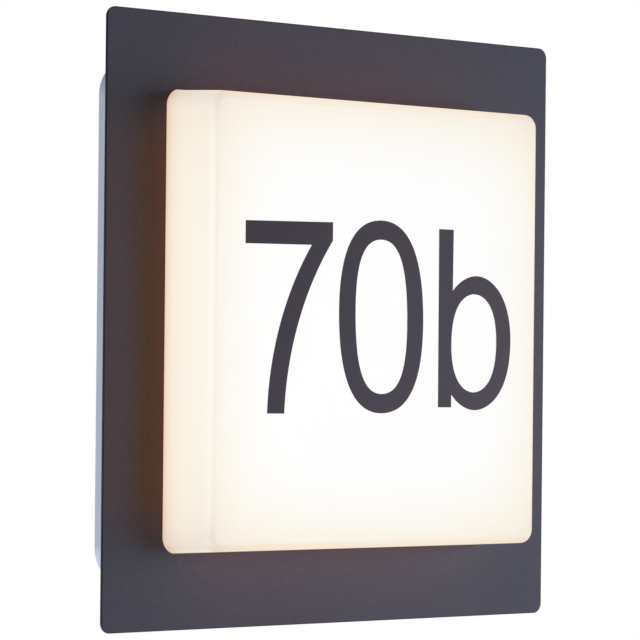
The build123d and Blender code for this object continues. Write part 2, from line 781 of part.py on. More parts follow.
with BuildPart() as cover_tab_right:
    with BuildSketch(Plane.XY.offset(-TAB_W / 2)):
        with BuildLine():
            Polyline(
                (TAB_IN, -PLATE_BACK),
                (TAB_IN + 14.0, -PLATE_BACK),
                (TAB_IN + 14.0, -PLATE_BACK + TAB_T),
                (TAB_IN + TAB_T, -PLATE_BACK + TAB_T),
                (TAB_IN + TAB_T, -TAB_END),
                (TAB_IN, -TAB_END),
                close=True,
            )
        make_face()
        fillet(
            vertices().sort_by_distance((TAB_IN + TAB_T, -PLATE_BACK + TAB_T))[0], 1.2
        )
    extrude(amount=TAB_W)
    fillet(
        cover_tab_right.edges()
        .filter_by(Axis.X)
        .filter_by(lambda e: e.center().Y > -TAB_END - 0.1),
        3.0,
    )
    fillet(
        cover_tab_right.edges()
        .filter_by(Axis.Y)
        .filter_by(lambda e: e.center().X > TAB_IN + 13.9),
        3.0,
    )
    with BuildSketch(RIGHT.offset(TAB_IN - 1)):
        Circle(2.3)
        with Locations((5, 0)):
            Rectangle(10, 4.6)
    extrude(amount=4, mode=Mode.SUBTRACT)
cover_tab_right.part.label = "cover_tab_right"

# Flat gasket between the plate, the diffuser's flange and the housing's rim.
with BuildPart() as flat_gasket:
    with BuildSketch(at(RIM)):
        RectangleRounded(GASKET_OUT, GASKET_OUT, HOUSING_R - 0.3)
        RectangleRounded(GASKET_IN, GASKET_IN, 8.8, mode=Mode.SUBTRACT)
        with Locations(*STUDS):
            Circle(1.8, mode=Mode.SUBTRACT)
    extrude(amount=GASKET_T)
flat_gasket.part.label = "flat_gasket"

# Opal diffuser: hollow moulded box with draft, a rounded front edge and a flange behind the plate.
with BuildPart() as opal_diffuser:
    with BuildSketch(at(FLANGE_BACK)):
        RectangleRounded(DIFF_BASE, DIFF_BASE, DIFF_BASE_R)
    extrude(amount=PLATE_FRONT - FLANGE_BACK)
    with BuildSketch(at(PLATE_FRONT)):
        RectangleRounded(DIFF_BASE, DIFF_BASE, DIFF_BASE_R)
    with BuildSketch(at(DIFF_FRONT)):
        RectangleRounded(DIFF_TOP, DIFF_TOP, DIFF_TOP_R)
    loft(ruled=True)
    fillet(opal_diffuser.faces().sort_by(Axis.Y)[0].edges(), DIFF_EDGE_R)
    with BuildSketch(at(FLANGE_BACK)):
        RectangleRounded(FLANGE, FLANGE, FLANGE_R)
    extrude(amount=FLANGE_T)
    with BuildSketch(at(FLANGE_BACK)):
        RectangleRounded(
            DIFF_BASE - 2 * DIFF_WALL, DIFF_BASE - 2 * DIFF_WALL, DIFF_BASE_R - DIFF_WALL
        )
    with BuildSketch(at(DIFF_FRONT - DIFF_WALL)):
        RectangleRounded(
            DIFF_TOP - 2 * DIFF_WALL + 0.4,
            DIFF_TOP - 2 * DIFF_WALL + 0.4,
            DIFF_TOP_R - DIFF_WALL,
        )
    loft(ruled=True, mode=Mode.SUBTRACT)
    with BuildSketch(at(FLANGE_BACK - 1)):
        with Locations(*STUDS):
            Circle(1.75)
    extrude(amount=FLANGE_T + 2, mode=Mode.SUBTRACT)
opal_diffuser.part.label = "opal_diffuser"

with BuildPart() as flange_washers:
    with BuildSketch(at(FLANGE_BACK)):
        with Locations(*STUDS):
            Circle(3.5)
            Circle(1.6, mode=Mode.SUBTRACT)
    extrude(amount=-FLANGE_WASHER_T)
flange_washers.part.label = "flange_washers"

with BuildPart() as flange_nuts:
    with BuildSketch(at(FLANGE_BACK - FLANGE_WASHER_T)):
        with Locations(*STUDS):
            RegularPolygon(NUT_AF / 2, 6, major_radius=False)
            Circle(STUD_R + 0.03, mode=Mode.SUBTRACT)
    extrude(amount=-NUT_H)
flange_nuts.part.label = "flange_nuts"

# ---- numerals, flat film on the diffuser's front face ----


def oval(cx, cz, half_w, half_h, kx, kz, turn_deg):
    """Four quarter curves of an upright oval; kx and kz say how far its top and its sides stay flat."""
    c, s = cos(radians(turn_deg)), sin(radians(turn_deg))
    quarters = []
    for sx, sz in ((1, 1), (-1, 1), (-1, -1), (1, -1)):
        corner = [
            (sx * half_w, 0),
            (sx * half_w, sz * kz * half_h),
            (sx * kx * half_w, sz * half_h),
            (0, sz * half_h),
        ]
        quarters.append([(cx + c * x - s * z, cz + s * x + c * z) for x, z in corner])
    return quarters


with BuildPart() as digit_seven:
    with BuildSketch(at(DIFF_FRONT)):
        with BuildLine():
            Polyline((-47.0, 38.4), (-90.1, 37.8), (-90.1, 48.9), (-33.2, 50.0), (-33.2, 40.9))
            ThreePointArc((-33.2, 40.9), (-55.55, 0.0), (-64.2, -44.2))
            Line((-64.2, -44.2), (-75.2, -44.2))
            ThreePointArc((-75.2, -44.2), (-67.05, 0.0), (-47.0, 38.4))
        make_face()
    extrude(amount=FILM_T)
digit_seven.part.label = "digit_seven"

with BuildPart() as digit_zero:
    with BuildSketch(at(DIFF_FRONT)):
        with BuildLine():
            for quarter in oval(0.22, 4.1, 28.7, 48.0, 0.53, 0.775, 1.3):
                Bezier(*quarter)
        make_face()
        with BuildLine():
            for quarter in oval(0.24, 4.15, 17.75, 38.4, 0.685, 0.70, 1.2):
                Bezier(*quarter)
        make_face(mode=Mode.SUBTRACT)
    extrude(amount=FILM_T)
digit_zero.part.label = "digit_zero"

with BuildPart() as letter_b:
    with BuildSketch(at(DIFF_FRONT)):
        with BuildLine():
            for quarter in oval(66.25, -7.95, 25.1, 34.2, 0.345, 0.79, -1.3):
                Bezier(*quarter)
        make_face()
        with BuildLine():
            Polyline((39.7, 49.3), (49.85, 49.3), (49.1, -40.75), (40.0, -40.75), close=True)
        make_face()
        with BuildLine():
            for quarter in oval(65.05, -8.05, 16.15, 25.0, 0.24, 0.92, -0.5):
                Bezier(*quarter)
        make_face(mode=Mode.SUBTRACT)
    extrude(amount=FILM_T)
letter_b.part.label = "letter_b"

# ================= side screws =================
WASHER_IN = TAB_IN + TAB_T + 0.05
WASHER_T = 0.8
HEAD_IN = WASHER_IN + WASHER_T

with BuildPart() as screw_washer_left:
    with BuildSketch(LEFT.offset(WASHER_IN)):
        Circle(4.4)
        Circle(2.25, mode=Mode.SUBTRACT)
    extrude(amount=WASHER_T)
screw_washer_left.part.label = "screw_washer_left"

with BuildPart() as screw_washer_right:
    with BuildSketch(RIGHT.offset(WASHER_IN)):
        Circle(4.4)
        Circle(2.25, mode=Mode.SUBTRACT)
    extrude(amount=WASHER_T)
screw_washer_right.part.label = "screw_washer_right"

with BuildPart() as cover_screw_left:
    with BuildSketch(LEFT.offset(HEAD_IN)):
        Circle(3.9)
    extrude(amount=2.6)
    fillet(cover_screw_left.edges().filter_by(GeomType.CIRCLE).sort_by(Axis.X)[0], 1.2)
    with BuildSketch(LEFT.offset(HEAD_IN)):
        Circle(SIDE_SCREW_R)
    extrude(amount=-12.0)
    chamfer(cover_screw_left.edges().filter_by(GeomType.CIRCLE).sort_by(Axis.X)[-1], 0.4)
    with BuildSketch(LEFT.offset(HEAD_IN + 2.6)):
        Rectangle(4.4, 0.9)
        Rectangle(0.9, 4.4)
    extrude(amount=-1.5, mode=Mode.SUBTRACT)
cover_screw_left.part.label = "cover_screw_left"

with BuildPart() as cover_screw_right:
    with BuildSketch(RIGHT.offset(HEAD_IN)):
        Circle(3.9)
    extrude(amount=2.6)
    fillet(cover_screw_right.edges().filter_by(GeomType.CIRCLE).sort_by(Axis.X)[-1], 1.2)
    with BuildSketch(RIGHT.offset(HEAD_IN)):
        Circle(SIDE_SCREW_R)
    extrude(amount=-12.0)
    chamfer(cover_screw_right.edges().filter_by(GeomType.CIRCLE).sort_by(Axis.X)[0], 0.4)
    with BuildSketch(RIGHT.offset(HEAD_IN + 2.6)):
        Rectangle(4.4, 0.9)
        Rectangle(0.9, 4.4)
    extrude(amount=-1.5, mode=Mode.SUBTRACT)
cover_screw_right.part.label = "cover_screw_right"

# ================= one file for each sub-part =================
export_step(rear_housing.part, "parts/rear_housing.step")
export_step(housing_floor.part, "parts/housing_floor.step")
export_step(wall_hole_washers.part, "parts/wall_hole_washers.step")
export_step(cable_grommet.part, "parts/cable_grommet.step")
export_step(thread_inserts.part, "parts/thread_inserts.step")
export_step(gear_tray.part, "parts/gear_tray.step")
export_step(tray_screws.part, "parts/tray_screws.step")
export_step(lead_grommet.part, "parts/lead_grommet.step")
export_step(led_board.part, "parts/led_board.step")
export_step(led_packages.part, "parts/led_packages.step")
export_step(led_board_screws.part, "parts/led_board_screws.step")
export_step(led_connector.part, "parts/led_connector.step")
export_step(driver_case.part, "parts/driver_case.step")
export_step(driver_lid.part, "parts/driver_lid.step")
export_step(driver_board.part, "parts/driver_board.step")
export_step(driver_transformer.part, "parts/driver_transformer.step")
export_step(driver_capacitors.part, "parts/driver_capacitors.step")
export_step(driver_screws.part, "parts/driver_screws.step")
export_step(terminal_block.part, "parts/terminal_block.step")
export_step(terminal_tubes.part, "parts/terminal_tubes.step")
export_step(terminal_screws.part, "parts/terminal_screws.step")
export_step(terminal_mount_screw.part, "parts/terminal_mount_screw.step")
export_step(cord_clamp.part, "parts/cord_clamp.step")
export_step(cord_clamp_screws.part, "parts/cord_clamp_screws.step")
export_step(live_lead.part, "parts/live_lead.step")
export_step(neutral_lead.part, "parts/neutral_lead.step")
export_step(led_plus_lead.part, "parts/led_plus_lead.step")
export_step(led_minus_lead.part, "parts/led_minus_lead.step")
export_step(front_plate.part, "parts/front_plate.step")
export_step(plate_studs.part, "parts/plate_studs.step")
export_step(cover_tab_left.part, "parts/cover_tab_left.step")
export_step(cover_tab_right.part, "parts/cover_tab_right.step")
export_step(flat_gasket.part, "parts/flat_gasket.step")
export_step(opal_diffuser.part, "parts/opal_diffuser.step")
export_step(flange_washers.part, "parts/flange_washers.step")
export_step(flange_nuts.part, "parts/flange_nuts.step")
export_step(digit_seven.part, "parts/digit_seven.step")
export_step(digit_zero.part, "parts/digit_zero.step")
export_step(letter_b.part, "parts/letter_b.step")
export_step(screw_washer_left.part, "parts/screw_washer_left.step")
export_step(screw_washer_right.part, "parts/screw_washer_right.step")
export_step(cover_screw_left.part, "parts/cover_screw_left.step")
export_step(cover_screw_right.part, "parts/cover_screw_right.step")
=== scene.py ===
import json
import math

import bpy
from mathutils import Matrix, Vector

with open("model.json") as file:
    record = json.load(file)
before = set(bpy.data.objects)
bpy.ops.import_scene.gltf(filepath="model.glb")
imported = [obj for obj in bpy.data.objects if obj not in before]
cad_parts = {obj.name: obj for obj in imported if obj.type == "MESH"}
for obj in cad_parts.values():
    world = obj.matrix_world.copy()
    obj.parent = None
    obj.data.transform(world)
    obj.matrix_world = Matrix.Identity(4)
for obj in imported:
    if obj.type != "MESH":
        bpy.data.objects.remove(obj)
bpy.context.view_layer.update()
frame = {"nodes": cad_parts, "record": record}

nodes = frame["nodes"]
scene = bpy.context.scene

# ---------------------------------------------------------------------------
# camera: level, 42 degrees round to the sign's left, 1.84 m away, long lens
# ---------------------------------------------------------------------------
YAW = 0.738450
ROLL = 0.009950
PLATE_Y = -0.0335
cam_data = bpy.data.cameras.new("camera")
cam = bpy.data.objects.new("camera", cam_data)
scene.collection.objects.link(cam)
forward = Vector((math.sin(YAW), math.cos(YAW), 0))
right = Vector((math.cos(YAW), -math.sin(YAW), 0))
up = Vector((0, 0, 1))
x_axis = right * math.cos(ROLL) + up * math.sin(ROLL)
y_axis = -right * math.sin(ROLL) + up * math.cos(ROLL)
DIST, OFF_X, OFF_Z = 1.8380, 0.007875, -0.031400
place = Vector((0, PLATE_Y, 0)) - forward * DIST - right * OFF_X + up * OFF_Z
cam.matrix_world = Matrix((
    (x_axis.x, y_axis.x, -forward.x, place.x),
    (x_axis.y, y_axis.y, -forward.y, place.y),
    (x_axis.z, y_axis.z, -forward.z, place.z),
    (0, 0, 0, 1),
))
cam_data.sensor_width = 36.0
cam_data.lens = 204.860
cam_data.shift_y = 0.10566
cam_data.clip_start = 0.05
cam_data.clip_end = 60.0
scene.camera = cam

scene.view_settings.view_transform = "Standard"
scene.view_settings.look = "None"
scene.view_settings.exposure = 0.0
scene.view_settings.gamma = 1.0


# ---------------------------------------------------------------------------
# node helpers
# ---------------------------------------------------------------------------
def lin(r, g, b):
    """0-255 display colour to linear."""
    out = []
    for c in (r, g, b):
        c /= 255
        out.append(c / 12.92 if c <= 0.04045 else ((c + 0.055) / 1.055) ** 2.4)
    return tuple(out)


class Mat:
    """A node material with short ways to add what these finishes need."""

    def __init__(self, name):
        self.m = bpy.data.materials.new(name)
        self.m.use_nodes = True
        self.t = self.m.node_tree
        self.t.nodes.clear()
        self.out = self.t.nodes.new("ShaderNodeOutputMaterial")
        self.b = self.t.nodes.new("ShaderNodeBsdfPrincipled")
        self.t.links.new(self.b.outputs[0], self.out.inputs[0])
        self.tc = self.t.nodes.new("ShaderNodeTexCoord")

    def put(self, sock, v):
        if hasattr(v, "is_linked") or isinstance(v, bpy.types.NodeSocket):
            self.t.links.new(v, sock)
        elif isinstance(v, (tuple, list)) and len(v) == 3 and sock.type == "RGBA":
            sock.default_value = (*v, 1)
        else:
            sock.default_value = v

    def noise(self, scale, detail=2.0, rough=0.5, stretch=None, dist=0.0, dims="3D"):
        n = self.t.nodes.new("ShaderNodeTexNoise")
        n.noise_dimensions = dims
        n.inputs["Scale"].default_value = scale
        n.inputs["Detail"].default_value = detail
        n.inputs["Roughness"].default_value = rough
        n.inputs["Distortion"].default_value = dist
        if stretch:
            mp = self.t.nodes.new("ShaderNodeMapping")
            mp.inputs["Scale"].default_value = stretch
            self.t.links.new(self.tc.outputs["Object"], mp.inputs[0])
            self.t.links.new(mp.outputs[0], n.inputs["Vector"])
        else:
            self.t.links.new(self.tc.outputs["Object"], n.inputs["Vector"])
        return n.outputs["Fac"]

    def voronoi(self, scale, feature="F1", rand=1.0):
        n = self.t.nodes.new("ShaderNodeTexVoronoi")
        n.feature = feature
        n.inputs["Scale"].default_value = scale
        n.inputs["Randomness"].default_value = rand
        self.t.links.new(self.tc.outputs["Object"], n.inputs["Vector"])
        return n.outputs["Distance"]

    def math(self, op, a, b=0.0, c=None, clamp=False):
        n = self.t.nodes.new("ShaderNodeMath")
        n.operation = op
        n.use_clamp = clamp
        self.put(n.inputs[0], a)
        self.put(n.inputs[1], b)
        if c is not None:
            self.put(n.inputs[2], c)
        return n.outputs[0]

    def range(self, v, a, b, c, d, smooth=False):
        n = self.t.nodes.new("ShaderNodeMapRange")
        n.interpolation_type = "SMOOTHSTEP" if smooth else "LINEAR"
        n.clamp = True
        self.put(n.inputs["Value"], v)
        for key, val in zip(("From Min", "From Max", "To Min", "To Max"), (a, b, c, d)):
            n.inputs[key].default_value = val
        return n.outputs["Result"]

    def ramp(self, v, stops, mode="LINEAR"):
        n = self.t.nodes.new("ShaderNodeValToRGB")
        r = n.color_ramp
        r.interpolation = mode
        while len(r.elements) > 1:
            r.elements.remove(r.elements[-1])
        r.elements[0].position = stops[0][0]
        r.elements[0].color = (*stops[0][1], 1)
        for p, c in stops[1:]:
            e = r.elements.new(p)
            e.color = (*c, 1)
        self.put(n.inputs[0], v)
        return n.outputs[0]

    def mix(self, f, a, b, blend="MIX"):
        n = self.t.nodes.new("ShaderNodeMix")
        n.data_type = "RGBA"
        n.blend_type = blend
        self.put(n.inputs[0], f)
        self.put(n.inputs[6], a)
        self.put(n.inputs[7], b)
        return n.outputs[2]

    def bump(self, height, strength, distance, under=None):
        n = self.t.nodes.new("ShaderNodeBump")
        n.inputs["Strength"].default_value = strength
        n.inputs["Distance"].default_value = distance
        self.put(n.inputs["Height"], height)
        if under is not None:
            self.put(n.inputs["Normal"], under)
        return n.outputs[0]

    def xyz(self, source="Object"):
        n = self.t.nodes.new("ShaderNodeSeparateXYZ")
        self.t.links.new(self.tc.outputs[source], n.inputs[0])
        return n.outputs

    def set(self, **kw):
        for k, v in kw.items():
            self.put(self.b.inputs[k.replace("_", " ")], v)
        return self


# ---------------------------------------------------------------------------
# finishes
# ---------------------------------------------------------------------------
def powder(name, tone):
    """Fine structured powder coat: tiny grains, a little lighter and darker, over a soft cloudiness."""
    m = Mat(name)
    x, y, z = m.xyz()[:3]
    grain = m.noise(1500, 3, 0.6)
    cloud = m.noise(28, 3, 0.5)
    speck = m.voronoi(1100)
    dark = tuple(c * 0.80 for c in tone)
    light = tuple(c * 1.28 for c in tone)
    col = m.ramp(grain, [(0.30, dark), (0.50, tone), (0.72, light)])
    col = m.mix(m.range(cloud, 0.3, 0.7, 0.0, 0.22), col, tuple(c * 1.18 for c in tone))
    col = m.mix(m.range(speck, 0.0, 0.32, 0.35, 0.0), col, tuple(c * 0.6 for c in tone))
    mottle = m.noise(330, 2, 0.55)
    col = m.mix(m.range(mottle, 0.36, 0.64, 0.0, 0.22), col, tuple(c * 0.35 for c in tone))
    n = m.bump(grain, 0.35, 0.00012)
    n = m.bump(speck, 0.22, 0.0001, n)
    # painted light: the diffuser's lit walls throw an orange glow on the plate, painted on as emission below; it goes
    # by the distance out from the lit box's foot, a square 224.6 mm wide with 8 mm corners
    qx = m.math("MAXIMUM", m.math("SUBTRACT", m.math("ABSOLUTE", x), 0.1043), 0.0)
    qz = m.math("MAXIMUM", m.math("SUBTRACT", m.math("ABSOLUTE", z), 0.1043), 0.0)
    away = m.math("SQRT", m.math("ADD", m.math("MULTIPLY", qx, qx), m.math("MULTIPLY", qz, qz)))
    away = m.math("MAXIMUM", m.math("SUBTRACT", away, 0.0080), 0.0)
    front = m.range(y, -0.0328, -0.0333, 0.0, 1.0)
    # share of the sky that the box's 33 mm high glowing wall fills from there
    reach = m.math("SQRT", m.math("MULTIPLY_ADD", away, away, 0.033 * 0.033))
    share = m.math("MULTIPLY", m.math("SUBTRACT", 1.0, m.math("DIVIDE", away, reach)), 0.5)
    left = m.range(x, -0.098, -0.118, 0.0, 1.0, smooth=True)
    right = m.math("MULTIPLY", m.range(x, 0.098, 0.118, 0.0, 1.0, smooth=True), m.range(x, 0.122, 0.1385, 1.0, 0.0))
    beyond = m.math("ADD", left, right)
    # a point past the end of a wall sees little of it
    beside = m.range(m.math("MINIMUM", m.math("ABSOLUTE", x), m.math("ABSOLUTE", z)), 0.077, 0.118, 1.0, 0.04, smooth=True)
    front = m.math("MULTIPLY", front, beside)
    reach_x = m.range(x, 0.030, 0.105, 0.60, 0.28)
    painted_glow = m.math("MULTIPLY", m.math("MULTIPLY", share, front), m.math("MULTIPLY_ADD", beyond, 0.40, m.math("MULTIPLY_ADD", right, 0.32, reach_x)))
    # painted shadow and painted light: beside the box the coat's colour loses its blue and turns orange, standing in
    # for the diffuser shading the cool lamps and lighting the coat
    painted_shadow = m.math("MULTIPLY", m.math("MULTIPLY", m.range(away, 0.012, 0.037, 1.0, 0.10), front), m.math("MULTIPLY_ADD", beyond, 0.92, 0.08))
    col = m.mix(painted_shadow, col, (1.0, 0.97, 0.38), "MULTIPLY")
    # the outer half millimetre up to the plate's edge is darkened almost to black
    rim = m.math("MAXIMUM", m.math("ABSOLUTE", x), m.math("ABSOLUTE", z))
    col = m.mix(m.range(rim, 0.1494, 0.1499, 0.0, 0.75), col, (0.004, 0.004, 0.005))
    m.set(Base_Color=col, Roughness=m.range(grain, 0.3, 0.7, 0.50, 0.64), Normal=n)
    # painted glow: the diffuser's orange light on the plate, as emission
    m.set(Emission_Color=m.mix(painted_glow, (0.0, 0.0, 0.0), (0.10, 0.006, 0.0)))
    m.b.inputs["Emission Strength"].default_value = 1.0
    m.b.inputs["Specular IOR Level"].default_value = 0.32
    return m.m


def opal():
    """Opal acrylic lit from inside: whitest over the LED board, cream towards the rim, pinkish where it meets the plate."""
    m = Mat("opal_acrylic")
    x, y, z = m.xyz()[:3]
    ax = m.math("ABSOLUTE", x)
    az = m.math("ABSOLUTE", z)
    half = 0.1106
    # front face: the light falls off by half every 12 mm towards each of the four edges
    fall = None
    for v, sign, weight in ((x, 1, 1.0), (x, -1, 0.92), (z, 1, 1.14), (z, -1, 1.10)):
        inside = m.math("MULTIPLY_ADD", v, sign, half)
        f = m.math("MULTIPLY", m.math("POWER", 0.5, m.math("DIVIDE", inside, 0.012)), weight)
        fall = f if fall is None else m.math("ADD", fall, f)
    lean = m.math("MULTIPLY_ADD", x, -0.12, 0.990)
    wave = m.noise(9, 2, 0.5)
    fall = m.math("ADD", fall, m.range(wave, 0.3, 0.7, -0.025, 0.025))
    front = m.ramp(
        m.math("DIVIDE", fall, 1.6),
        [
            (0.0, (0.828, 0.828, 0.812)),
            (0.09, (0.826, 0.822, 0.797)),
            (0.20, (0.820, 0.800, 0.743)),
            (0.33, (0.816, 0.778, 0.688)),
            (0.47, (0.808, 0.752, 0.637)),
            (0.62, (0.792, 0.721, 0.596)),
            (1.0, (0.735, 0.650, 0.541)),
        ],
    )
    front = m.mix(1.0, front, lean, "MULTIPLY")
    # side walls: depth 0 at the plate, 1 at the front face
    depth = m.range(y, -0.0335, -0.0665, 0.0, 1.0)
    side = m.ramp(
        depth,
        [
            (0.0, (0.82, 0.60, 0.45)),
            (0.035, (0.86, 0.69, 0.545)),
            (0.10, (0.885, 0.76, 0.62)),
            (0.20, (0.912, 0.818, 0.69)),
            (0.38, (0.922, 0.857, 0.73)),
            (0.60, (0.922, 0.866, 0.762)),
            (0.90, (0.912, 0.862, 0.762)),
            # painted highlight along the rounded front edge, falling back to the front face's value just before it
            (0.955, (0.912, 0.895, 0.825)),
            (0.980, (0.890, 0.855, 0.765)),
            (0.991, (0.868, 0.812, 0.702)),
            (1.0, (0.822, 0.762, 0.652)),
        ],
    )
    # the painted highlight (the bright stop near the front of the side ramp, standing in for a lamp's reflection along
    # the rounded front edge) is on the upright edges only and stops short of the corners
    flat = m.ramp(
        depth,
        [
            (0.0, (0.82, 0.60, 0.45)),
            (0.035, (0.86, 0.69, 0.545)),
            (0.10, (0.885, 0.76, 0.62)),
            (0.20, (0.912, 0.818, 0.69)),
            (0.38, (0.922, 0.857, 0.73)),
            (0.60, (0.922, 0.866, 0.762)),
            (0.95, (0.905, 0.852, 0.748)),
            (0.99, (0.845, 0.775, 0.660)),
            (1.0, (0.795, 0.735, 0.625)),
        ],
    )
    side = m.mix(m.range(az, 0.090, 0.103, 0.0, 1.0, smooth=True), side, flat)
    # how far along its wall a point is from the nearer corner
    along = m.math("SUBTRACT", 0.1115, m.math("MINIMUM", ax, az))
    ends = m.ramp(
        m.math("DIVIDE", along, 0.07),
        [
            (0.0, (0.80, 0.70, 0.69)),
            (0.05, (0.87, 0.815, 0.81)),
            (0.11, (0.908, 0.868, 0.865)),
            (0.18, (0.95, 0.915, 0.89)),
            (0.38, (0.98, 0.963, 0.935)),
            (0.65, (0.995, 0.985, 0.97)),
            (1.0, (1.0, 1.0, 1.0)),
        ],
    )
    side = m.mix(1.0, side, ends, "MULTIPLY")
    side = m.mix(m.range(z, -0.100, -0.1115, 0.0, 1.0), side, (0.99, 0.975, 0.96), "MULTIPLY")
    side = m.mix(m.range(z, 0.096, 0.1115, 0.0, 1.0), side, (1.06, 1.05, 1.08), "MULTIPLY")
    # which of the two applies: by depth, at the rounded edge
    pick = m.range(y, -0.06642, -0.06649, 0.0, 1.0, smooth=True)
    glow = m.mix(pick, side, front)
    # the thicker rounded rim along the top and bottom passes less of the blue
    rim = m.math("MULTIPLY", m.range(az, 0.1073, 0.1105, 0.0, 1.0), m.range(y, -0.0620, -0.0640, 0.0, 1.0))
    glow = m.mix(rim, glow, (0.97, 0.87, 0.78), "MULTIPLY")
    low = m.math("MULTIPLY", m.range(z, -0.1070, -0.1105, 0.0, 1.0), m.range(y, -0.0620, -0.0640, 0.0, 1.0))
    glow = m.mix(low, glow, (0.885, 0.835, 0.800), "MULTIPLY")
    far = m.math("MULTIPLY", m.range(x, 0.1066, 0.1096, 0.0, 1.0), m.range(y, -0.0620, -0.0640, 0.0, 1.0))
    glow = m.mix(far, glow, (0.71, 0.65, 0.59), "MULTIPLY")
    # the flange behind the plate is only edge-lit
    glow = m.mix(m.range(y, -0.0331, -0.0318, 0.0, 1.0), glow, (0.56, 0.48, 0.38))
    flow = m.noise(420, 2, 0.5)
    m.set(
        Base_Color=m.ramp(m.noise(40, 2), [(0.3, (0.178, 0.176, 0.168)), (0.7, (0.190, 0.188, 0.180))]),
        Roughness=m.range(flow, 0.3, 0.7, 0.27, 0.33),
        Normal=m.bump(m.noise(30, 2), 0.02, 0.0006),
        Emission_Color=glow,
    )
    m.b.inputs["Emission Strength"].default_value = 1.0
    m.b.inputs["IOR"].default_value = 1.49
    m.b.inputs["Specular IOR Level"].default_value = 0.22
    return m.m


def film():
    """Dark matt numeral film with a faint leather-like texture."""
    m = Mat("numeral_film")
    g = m.noise(1700, 2, 0.55)
    tone = (0.0475, 0.0350, 0.0428)
    col = m.ramp(g, [(0.3, tuple(c * 0.88 for c in tone)), (0.7, tuple(c * 1.15 for c in tone))])
    col = m.mix(m.range(m.noise(35, 2), 0.3, 0.7, 0, 0.3), col, tuple(c * 1.2 for c in tone))
    x, y, z = m.xyz()[:3]
    # painted shade: the numerals are darkened towards the top and the left and lightened towards the bottom and the
    # right, as the lamps light the plate
    col = m.mix(1.0, col, m.ramp(m.range(z, -0.045, 0.045, 0.0, 1.0), [(0.0, (1.06, 1.05, 1.07)), (1.0, (0.92, 0.89, 0.91))]), "MULTIPLY")
    col = m.mix(1.0, col, m.ramp(m.range(x, -0.08, 0.09, 0.0, 1.0), [(0.0, (0.79, 0.72, 0.82)), (1.0, (1.18, 1.14, 1.16))]), "MULTIPLY")
    m.set(Base_Color=col, Roughness=m.range(g, 0.3, 0.7, 0.50, 0.62), Normal=m.bump(g, 0.15, 0.00006))
    m.b.inputs["Specular IOR Level"].default_value = 0.24
    return m.m


def moulded(name, tone, rough=(0.38, 0.50), grain=0.12, scale=900, spec=0.5):
    """Moulded plastic: fine spark-eroded texture, soft uneven tone, slight flow marks."""
    m = Mat(name)
    g = m.noise(scale, 3, 0.55)
    flow = m.noise(14, 3, 0.6, stretch=(1, 1, 0.35), dist=0.4)
    col = m.mix(m.range(flow, 0.3, 0.7, 0.0, 1.0), tuple(c * 0.96 for c in tone), tuple(min(1, c * 1.03) for c in tone))
    col = m.mix(m.range(g, 0.35, 0.65, 0.0, 0.12), col, tuple(c * 0.88 for c in tone))
    m.set(Base_Color=col, Roughness=m.range(g, 0.3, 0.7, *rough), Normal=m.bump(g, grain, 0.00008))
    m.b.inputs["Specular IOR Level"].default_value = spec
    return m.m


def rubber(name, tone):
    m = Mat(name)
    g = m.noise(1300, 2, 0.6)
    col = m.ramp(g, [(0.3, tone), (0.75, tuple(c * 1.5 for c in tone))])
    m.set(Base_Color=col, Roughness=m.range(g, 0.3, 0.7, 0.62, 0.8), Normal=m.bump(g, 0.2, 0.0001))
    m.b.inputs["Specular IOR Level"].default_value = 0.3
    return m.m


def metal(name, tone, rough=(0.22, 0.38), stretch=(40, 1, 1), scale=60):
    """Bare metal: fine directional machining marks and slight tarnish."""
    m = Mat(name)
    g = m.noise(scale, 4, 0.6, stretch=stretch)
    t = m.noise(180, 3, 0.5)
    col = m.mix(m.range(t, 0.35, 0.7, 0, 0.6), tone, tuple(c * 0.78 for c in tone))
    m.set(Base_Color=col, Roughness=m.range(g, 0.3, 0.7, *rough), Normal=m.bump(g, 0.12, 0.00005))
    m.b.inputs["Metallic"].default_value = 1.0
    return m.m


def board(name, tone, line):
    """Solder mask with the faint outlines of the copper lands under it."""
    m = Mat(name)
    n = m.t.nodes.new("ShaderNodeTexBrick")
    n.inputs["Scale"].default_value = 90
    n.inputs["Mortar Size"].default_value = 0.035
    n.inputs["Color1"].default_value = (*tone, 1)
    n.inputs["Color2"].default_value = (*(c * 0.96 for c in tone), 1)
    n.inputs["Mortar"].default_value = (*line, 1)
    mp = m.t.nodes.new("ShaderNodeMapping")
    mp.inputs["Rotation"].default_value = (math.pi / 2, 0, 0)
    m.t.links.new(m.tc.outputs["Object"], mp.inputs[0])
    m.t.links.new(mp.outputs[0], n.inputs["Vector"])
    g = m.noise(500, 2)
    m.set(Base_Color=n.outputs["Color"], Roughness=m.range(g, 0.3, 0.7, 0.3, 0.42), Normal=m.bump(n.outputs["Fac"], 0.1, 0.00005))
    return m.m


def lamp_face(name, tone, glow):
    m = Mat(name)
    g = m.noise(2400, 2)
    m.set(Base_Color=m.ramp(g, [(0.3, tone), (0.7, tuple(c * 0.9 for c in tone))]), Roughness=m.range(g, 0.3, 0.7, 0.4, 0.5))
    m.set(Emission_Color=m.ramp(g, [(0.3, glow), (0.7, tuple(c * 0.95 for c in glow))]))
    m.b.inputs["Emission Strength"].default_value = 2.0
    return m.m


def sleeve(name, tone):
    """Wire insulation: smooth, slightly waxy, faint drawn lines."""
    m = Mat(name)
    g = m.noise(700, 2, 0.5)
    m.set(
        Base_Color=m.ramp(g, [(0.3, tone), (0.75, tuple(min(1, c * 1.25 + 0.01) for c in tone))]),
        Roughness=m.range(g, 0.3, 0.7, 0.3, 0.42),
        Normal=m.bump(g, 0.06, 0.00005),
    )
    return m.m


